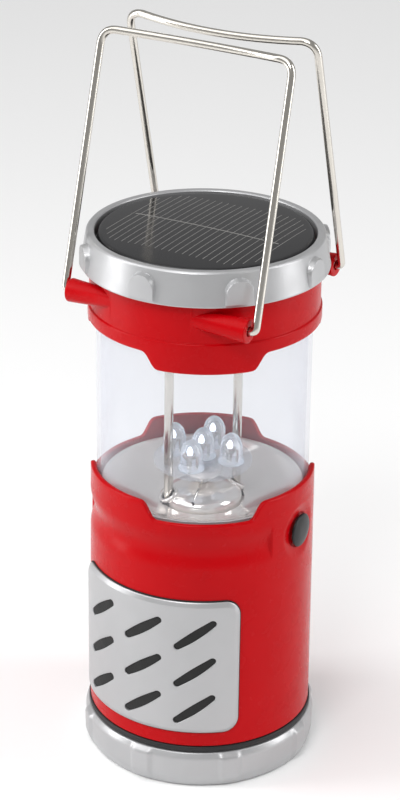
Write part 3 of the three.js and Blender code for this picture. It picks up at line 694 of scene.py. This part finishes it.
def guide_place(angle):
    out = Vector(polar(1, angle))
    tilt = Matrix.Rotation(math.radians(GUIDE["tilt"]), 4, Vector((0, 0, 1)).cross(out))
    return rod_place(angle, GUIDE["z"]) @ tilt


def rod_gap_shade(angle, number):
    """A black ring inside a rod's sleeve, painted as the shade in the gap round the rod."""
    r = GUIDE["lip_r"] - GUIDE["lip"]
    return turned(f"rod_gap_shade_{number}", [
        (GUIDE["gap_shade_r"], -1.3, 0), (r + 0.1, -1.3, 0), (r + 0.1, -0.35, 0),
        (GUIDE["gap_shade_r"], -0.6, 0.1),
    ], SLOT_BLACK, 40, 40, guide_place(angle))


def lead_wire():
    """The thin lead from the hub up to the lamps' stem."""
    stem = low("led_stem")
    points = bezier((LEAD["x"], LEAD["y"], stem - 3.9), (2.6, -9.5, stem - 1.2),
                    (1.6, -2.4, stem + 1.2), 14)
    verts, faces = tube_along(points, LEAD["r"], 10)
    return piece("lead_wire", verts, faces, NICKEL)


def lead_hole():
    """A black disc painted as the shade in the hole where the lead leaves the hub."""
    tilt = Matrix.Rotation(math.radians(LEAD["tilt"]), 4, "X")
    place = Matrix.Translation((LEAD["x"], LEAD["y"] - 0.05, low("led_stem") - 3.6)) @ tilt
    return turned("lead_hole_shade", [
        (ON_AXIS, -0.5, 0), (LEAD["hole_r"], -0.5, 0), (LEAD["hole_r"], 0.1, 0.05), (ON_AXIS, 0.1, 0),
    ], SLOT_BLACK, 24, 40, place)


def guide_rod(angle, number):
    z0, z1 = low("guide_rod_1"), high("guide_rod_1")
    r = ROD["r"]
    return turned(f"plated_rod_{number}", [
        (ON_AXIS, z0, 0), (r, z0, 0.5), (r, z1, 0.3), (ON_AXIS, z1, 0),
    ], NICKEL, 40, 40, rod_place(angle))


def led_stem():
    z0, z1 = low("led_stem"), high("led_stem")
    return turned("lamp_stem", [
        (ON_AXIS, z0, 0), (STEM["foot_r"], z0, 0.3), (STEM["waist_r"], z0 + STEM["waist"], 0.8),
        (STEM["bulge_r"], z0 + STEM["bulge"], 1.2), (STEM["bulge_r"], z1 - STEM["top"], 0.9),
        (STEM["top_r"], z1, 0.3), (ON_AXIS, z1, 0),
    ], CHROME, 72)


def led_disc():
    z0, z1 = low("led_disc"), high("led_disc")
    obj = turned("lamp_disc", [
        (ON_AXIS, z0, 0), (DISC["r"], z0, 0.3), (DISC["r"], z1, 0.4), (ON_AXIS, z1, 0),
    ], DISC_CLEAR, 120)
    for angle in ROD["angles"]:
        cut(obj, drill(DISC["hole_r"], -3, 3, DISC_CLEAR, 40, rod_place(angle, z0)))
    return obj


def lamp_spots():
    return [(0, 0)] + [polar(LAMP["circle_r"], angle)[:2] for angle in LAMP["angles"]]


def lamp(x, y, number):
    z0, z1 = low("led_lamp_1"), high("led_lamp_1")
    shoulder = z1 - LAMP["r"] * LAMP["crown"]
    corners = [(ON_AXIS, z0, 0), (LAMP["flange_r"], z0, 0.15),
               (LAMP["flange_r"], z0 + LAMP["flange"], 0.3), (LAMP["r"], z0 + LAMP["flange"] + 0.2, 0.2)]
    for turn in np.linspace(0, math.pi / 2, 12):
        r = max(LAMP["r"] * math.cos(turn), ON_AXIS)
        corners.append((r, shoulder + (z1 - shoulder) * math.sin(turn), 0))
    return turned(f"lamp_lens_{number}", corners, RESIN, 48, 50, Matrix.Translation((x, y, 0)))


def lamp_leads(x, y, number):
    """The lead frame inside a lamp: a post and an anvil with the reflector cup on it."""
    z0 = low("led_lamp_1")
    place = Matrix.Translation((x, y, z0 + 0.4))
    anvil = turned(f"lamp_leads_{number}", [
        (ON_AXIS, 0, 0), (0.5, 0, 0), (0.6, 3.0, 0.3), (1.5, 4.2, 0.2), (1.5, 5.2, 0.1), (0.5, 4.7, 0),
        (ON_AXIS, 4.7, 0),
    ], NICKEL, 24, 40, place @ Matrix.Translation((-0.5, 0, 0)))
    post = turned("post", [
        (ON_AXIS, 0, 0), (0.4, 0, 0), (0.4, 5.0, 0.1), (ON_AXIS, 5.0, 0),
    ], NICKEL, 16, 40, place @ Matrix.Translation((1.7, 0, 0)))
    return merge(anvil, [post])


def lamp_chip(x, y, number):
    """The glowing drop in the lamp's cup."""
    z = low("led_lamp_1") + 5.5
    return turned(f"lamp_chip_{number}", [
        (ON_AXIS, z, 0), (0.6, z, 0), (0.75, z + 0.8, 0.3), (0.4, z + 2.2, 0.5), (ON_AXIS, z + 2.6, 0),
    ], GLOW, 20, 60, Matrix.Translation((x - 0.4, y, 0)))


# ---- Sliding top ----------------------------------------------------------------------------


def clear_tube():
    z0, z1 = low("clear_tube"), high("clear_tube")
    return turned("window_tube", [
        (TUBE["bore_r"], z0, 0.3), (TUBE["r"], z0, 0.3), (TUBE["r"], z1, 0.3), (TUBE["bore_r"], z1, 0.3),
    ], CLEAR, 200)


def boss(side_x, side_y):
    x0, x1 = KNUCKLE["root_x"], KNUCKLE["end_x"] - side_x * side_y * KNUCKLE["shift"]
    place = Matrix.Translation((0, side_y * KNUCKLE["y"], KNUCKLE["z"]))
    place = place @ Matrix.Rotation(math.radians(90 * side_x), 4, "Y")
    return turned("boss", [
        (ON_AXIS, x0, 0), (KNUCKLE["root_r"], x0, 0.3), (KNUCKLE["r"], x1, 0.45),
        (KNUCKLE["bore_r"], x1, 0.2),
        (KNUCKLE["bore_r"], x1 - 5, 0), (ON_AXIS, x1 - 5, 0),
    ], RED, 56, 38, place)


def upper_collar():
    top, tip = high("upper_collar"), low("upper_collar")

    def section(angle):
        foot = rim_height(angle, tip, COLLAR["flange_z"], TAB["tip_half"], TAB["top_half"],
                          COLLAR["flange_r"])
        return fillet([
            (COLLAR["bore_r"], foot, 0.3), (COLLAR["flange_r"], foot, 0.55),
            (COLLAR["flange_r"], COLLAR["step_z"], 0.3), (COLLAR["r"], COLLAR["step_z"] + 0.35, 0.12),
            (COLLAR["r"], top, 0.2), (COLLAR["bore_r"], top, 0.2),
        ])

    obj = swept("collar_skin", section, angle_steps(240, RIM_BANDS), RED, 38)
    inner = drill(COLLAR["bore_r"] - 0.05, 150, 200, RED, 240)
    bosses = [boss(x, y) for x in (-1, 1) for y in (-1, 1)]
    for each in bosses[1:]:
        cut(bosses[0], each, "UNION")
    cut(bosses[0], inner)
    cut(obj, bosses[0], "UNION")
    return obj


def cap_ring():
    z0, z1 = low("cap_ring"), high("cap_ring")
    cone = np.linspace(z0 + 0.9, z1 - 0.75, 46)

    def cone_r(z):
        return RING["lip_r"] + (RING["top_r"] - RING["lip_r"]) * (z - z0) / (z1 - z0)

    def section(angle):
        off = turn_from(angle, round(angle / (360 / LOBES)) * 360 / LOBES)
        aside = math.radians(off) * RING["lip_r"]
        half = RING_LOBE["half"]
        arch = RING_LOBE["high"] - half
        away = np.where(cone > arch, np.hypot(aside, cone - arch), abs(aside))
        inset = 1 - smooth(half - 0.45, half, away)
        inset = inset * smooth(RING_LOBE["low"] - 0.4, RING_LOBE["low"] + 0.1, cone)
        radii = cone_r(cone)
        radii = radii + inset * (RING_LOBE["face_r"] - (cone - z0) * 0.02 - radii)
        points = [(RING["lip_r"] - 0.5, z0), (RING["lip_r"] - 0.1, z0 + 0.15), (RING["lip_r"], z0 + 0.5)]
        points += list(zip(radii, cone))
        points += fillet([(RING["top_r"] - 0.05, z1 - 0.5, 0), (RING["top_r"] - 0.5, z1, 0.3),
                          (RING["eye_r"] + 0.4, z1, 0.3), (RING["eye_r"], z1 - 0.6, 0.2)])
        points += [(RING["eye_r"], RING["shelf_z"]), (RING["sleeve_r"], RING["shelf_z"]),
                   (RING["sleeve_r"], z0)]
        return points

    bands = tuple((360 / LOBES * i, 7, 0.3) for i in range(LOBES))
    return swept("lobed_ring", section, angle_steps(240, bands), SILVER, 42)


def window_height(r):
    """The height of the window's domed face."""
    share = min(1, r / (WINDOW["r"] - WINDOW["edge_r"]))
    return high("solar_window") - WINDOW["crown"] * share ** 2.2


def solar_window():
    z0, r, edge = low("solar_window"), WINDOW["r"], WINDOW["edge_r"]
    face_r = r - edge
    corners = [(ON_AXIS, z0, 0), (r, z0, 0.1)]
    for turn in np.linspace(0, math.pi / 2, 8):
        z = window_height(face_r) - edge * (1 - math.sin(turn))
        corners.append((face_r + edge * math.cos(turn), z, 0))
    for share in np.linspace(0.95, 0, 20):
        corners.append((max(face_r * share, ON_AXIS), window_height(face_r * share), 0))
    return turned("panel_cover", corners, COVER, 160)


def ribbon(start, end, half_width, thickness, steps=24):
    """A printed line laid over the window's domed face."""
    start, end = np.array(start, float), np.array(end, float)
    way = (end - start) / np.linalg.norm(end - start)
    side = np.array((-way[1], way[0])) * half_width
    verts = []
    for share in np.linspace(0, 1, steps):
        middle = start + (end - start) * share
        z = window_height(np.hypot(*middle))
        for corner, lift in ((middle - side, -0.02), (middle + side, -0.02),
                             (middle + side, thickness), (middle - side, thickness)):
            verts.append((*corner, z + lift))
    faces = strips(steps, 4, False)
    last = (steps - 1) * 4
    return verts, faces + [(0, 1, 2, 3), (last + 3, last + 2, last + 1, last)]


def silver_lines():
    """The cell's collector fingers and the bar across them, as they show through the window."""
    bar = BUSBAR["half_length"]
    lines = [((-bar, 0), (bar, 0), BUSBAR["half_width"], 0.035)]
    middle = (FINGER["count"] - 1) / 2
    for i in range(FINGER["count"]):
        x = (i - middle) * FINGER["pitch"]
        half = min(FINGER["half_length"], math.sqrt(FINGER["clear_r"] ** 2 - x * x))
        lines.append(((x, -half), (x, half), FINGER["half_width"], 0.015))
    verts, faces = [], []
    for line in lines:
        more, quads = ribbon(*line)
        faces += [tuple(len(verts) + i for i in quad) for quad in quads]
        verts += more
    return piece("silver_lines", verts, faces, SILVER_INK)


def solar_cell():
    z0, z1 = low("solar_cell"), high("solar_cell")
    half_x, half_y, chamfer = SOLAR_CELL["half_x"], SOLAR_CELL["half_y"], SOLAR_CELL["chamfer"]
    corners = np.array([
        (half_x - chamfer, -half_y), (half_x, -half_y + chamfer),
        (half_x, half_y - chamfer), (half_x - chamfer, half_y),
        (-half_x + chamfer, half_y), (-half_x, half_y - chamfer),
        (-half_x, -half_y + chamfer), (-half_x + chamfer, -half_y),
    ])
    outline = dense_loop(corners, 2)
    return sheet_plate("silicon_wafer", outline, [], lambda x, y, depth: (x, y, z1 - depth), SOLAR,
                       [(0.05, 0.03), (0.08, 0.1), (0.08, z1 - z0)], [], 4)


# ---- Bails ----------------------------------------------------------------------------------


def bezier(a, b, c, steps):
    a, b, c = np.array(a, float), np.array(b, float), np.array(c, float)
    return [a * (1 - t) ** 2 + b * 2 * t * (1 - t) + c * t * t for t in np.linspace(0, 1, steps)]


def bail_points():
    """The wire's middle line, pivoting on the X axis with the loop upright."""
    leg, foot_x, top_x, bow = BAIL["leg"], BAIL["foot_x"], BAIL["top_x"], BAIL["bow"]
    foot, corner, inner = BAIL_BEND["foot"], BAIL_BEND["corner"], BAIL_BEND["inner_x"]
    bar_end = np.array((top_x - corner, BAIL_BEND["bar_y"], leg))
    slope = (foot_x - top_x) / leg

    def leg_x(z):
        return foot_x - slope * z

    half = [np.array((inner, 0, 0))]
    half += bezier((foot_x - foot, 0, 0), (foot_x, 0, 0), (leg_x(foot), 0, foot), 10)
    half += [np.array((leg_x(z), 0, z)) for z in np.linspace(foot, leg - corner, 24)[1:-1]]
    half += bezier((leg_x(leg - corner), 0, leg - corner), (top_x, 0, leg), bar_end, 14)
    left = [point * (-1, 1, 1) for point in half]
    bar = bezier(bar_end * (-1, 1, 1), (0, 2 * bow - BAIL_BEND["bar_y"], leg), bar_end, 32)
    return left + bar[1:-1] + half[::-1]


def bail(name, side_y):
    verts, faces = tube_along(bail_points(), BAIL["wire_r"])
    lean = Matrix.Rotation(math.radians(-BAIL["lean"]), 4, "X")
    about = Matrix.Rotation(math.pi if side_y > 0 else 0, 4, "Z")
    pivot = (-side_y * BAIL["shift"], side_y * KNUCKLE["y"], KNUCKLE["z"])
    place = Matrix.Translation(pivot) @ about @ lean
    return piece(name, [place @ Vector(v) for v in verts], faces, NICKEL, 60)


# ---- Assembly -------------------------------------------------------------------------------

keep(base_cap(), "battery_cap", "silver_plastic", "base_cap")
keep(gasket(), "lantern_body", "black_rubber", "base_gasket")
keep(body_shell(), "lantern_body", "red_plastic", "body_shell")
keep(grille_panel(), "lantern_body", "silver_plastic", "grille_panel")
keep(grille_backing(), "lantern_body", "black_plastic", "grille_backing")
# The shadow line in the gap round the panel is painted, as a black sheet.
keep(panel_gap_shade(), "lantern_body", "black_plastic")
keep(power_button(), "button", "black_rubber", "power_button")
keep(reflector(), "lantern_body", "reflector_chrome", "reflector")
keep(led_stem(), "lantern_body", "reflector_chrome", "led_stem")
keep(led_disc(), "lantern_body", "clear_plastic", "led_disc")
for count, spot in enumerate(lamp_spots(), 1):
    keep(lamp(*spot, count), "lantern_body", "lamp_resin", f"led_lamp_{count}")
    keep(lamp_leads(*spot, count), "lantern_body", "nickel_wire")
    keep(lamp_chip(*spot, count), "lantern_body", "lamp_resin")
for count, around in enumerate(ROD["angles"], 1):
    keep(rod_guide(around, count), "lantern_body", "reflector_chrome", f"rod_guide_{count}")
    # Painted shade: a black ring darkens the gap between each rod and its sleeve.
    keep(rod_gap_shade(around, count), "lantern_body", "black_plastic")
    keep(guide_rod(around, count), "top_unit", "nickel_wire", f"guide_rod_{count}")
keep(lead_wire(), "lantern_body", "nickel_wire")
keep(lead_hole(), "lantern_body", "black_plastic")
keep(clear_tube(), "top_unit", "clear_plastic", "clear_tube")
keep(upper_collar(), "top_unit", "red_plastic", "upper_collar")
keep(cap_ring(), "top_unit", "silver_plastic", "cap_ring")
keep(solar_cell(), "top_unit", "solar_silicon", "solar_cell")
keep(silver_lines(), "top_unit", "nickel_wire")
keep(solar_window(), "top_unit", "clear_plastic", "solar_window")
keep(bail("bail_wire_front", -1), "bail_front", "nickel_wire", "front_bail")
keep(bail("bail_wire_back", 1), "bail_back", "nickel_wire", "back_bail")

# The inner pieces that stay as the frame has them only get their finish.
CARRIED = {
    "contact_plate": NICKEL, "button_snap_disc": NICKEL, "inner_chassis": BLACK, "battery_carrier": BLACK,
    "circuit_board": BOARD, "charge_chip": BLACK, "tube_slide_ring": BLACK, "solar_tray": BLACK,
    **{f"chassis_screw_{i}": NICKEL for i in (1, 2, 3)},
    **{f"battery_cell_{i}": WRAP for i in (1, 2, 3, 4)},
}
for node, finish in CARRIED.items():
    NODES[node].data.materials.clear()
    NODES[node].data.materials.append(finish)

# ---- Floor, light and camera ----------------------------------------------------------------

STUDIO_WHITE = 0.38
CEILING = {"strength": 1.15, "spread": 60, "tilt": (22, -14)}
FLOOR = {"half": 4000, "drop": 0.05}
CAMERA = {"azimuth": 29.6, "elevation": 24.62, "distance": 0.8683, "aim": (-0.00108, -0.00061, 0.13208),
          "roll": 0.79, "lens": 112.5}


def floor():
    material, tree, shader = new_material("floor_white")
    colour = blend_colours(tree, noise(tree, 3), (0.93, 0.93, 0.93), (0.95, 0.95, 0.95))
    tree.links.new(colour, shader.inputs["Base Color"])
    set_inputs(shader, Roughness=0.7)
    half, z = FLOOR["half"], -FLOOR["drop"]
    verts = [(-half, -half, z), (half, -half, z), (half, half, z), (-half, half, z)]
    obj = piece("floor", verts, [(0, 1, 2, 3)], material)


def area_light(name, azimuth, elevation, distance, size, power, colour=(1, 1, 1)):
    light = bpy.data.lights.new(name, "AREA")
    light.shape = "RECTANGLE"
    light.size, light.size_y = size
    light.energy = power
    light.color = colour
    obj = bpy.data.objects.new(name, light)
    a, e = math.radians(azimuth), math.radians(elevation)
    way = Vector((math.sin(a) * math.cos(e), -math.cos(a) * math.cos(e), math.sin(e)))
    obj.location = Vector((0, 0, 0.12)) + way * distance
    obj.rotation_euler = (-way).to_track_quat("-Z", "Y").to_euler()
    bpy.context.scene.collection.objects.link(obj)


def studio():
    world = bpy.data.worlds.new("studio")
    world.use_nodes = True
    background = world.node_tree.nodes["Background"]
    background.inputs["Color"].default_value = (1, 1, 1, 1)
    background.inputs["Strength"].default_value = STUDIO_WHITE
    bpy.context.scene.world = world
    glow = bpy.data.lights.new("ceiling", "SUN")
    glow.energy, glow.angle = CEILING["strength"], math.radians(CEILING["spread"])
    ceiling = bpy.data.objects.new("ceiling", glow)
    ceiling.rotation_euler = (*map(math.radians, CEILING["tilt"]), 0)
    bpy.context.scene.collection.objects.link(ceiling)
    area_light("right_box", 112, 22, 0.9, (0.30, 0.9), 4)
    area_light("left_box", -58, 18, 0.9, (0.30, 0.9), 4.5)
    area_light("key", 10, 48, 1.0, (0.3, 0.2), 2.5)
    bpy.context.scene.view_settings.view_transform = "Standard"


def camera():
    data = bpy.data.cameras.new("camera")
    data.lens, data.sensor_width = CAMERA["lens"], 36
    data.clip_start, data.clip_end = 0.01, 20
    obj = bpy.data.objects.new("camera", data)
    a, e = math.radians(CAMERA["azimuth"]), math.radians(CAMERA["elevation"])
    back = Vector((math.sin(a) * math.cos(e), -math.cos(a) * math.cos(e), math.sin(e)))
    obj.location = Vector(CAMERA["aim"]) + back * CAMERA["distance"]
    roll = Matrix.Rotation(math.radians(CAMERA["roll"]), 3, "Z").to_quaternion()
    obj.rotation_euler = ((-back).to_track_quat("-Z", "Y") @ roll).to_euler()
    bpy.context.scene.collection.objects.link(obj)
    bpy.context.scene.camera = obj


floor()
studio()
camera()
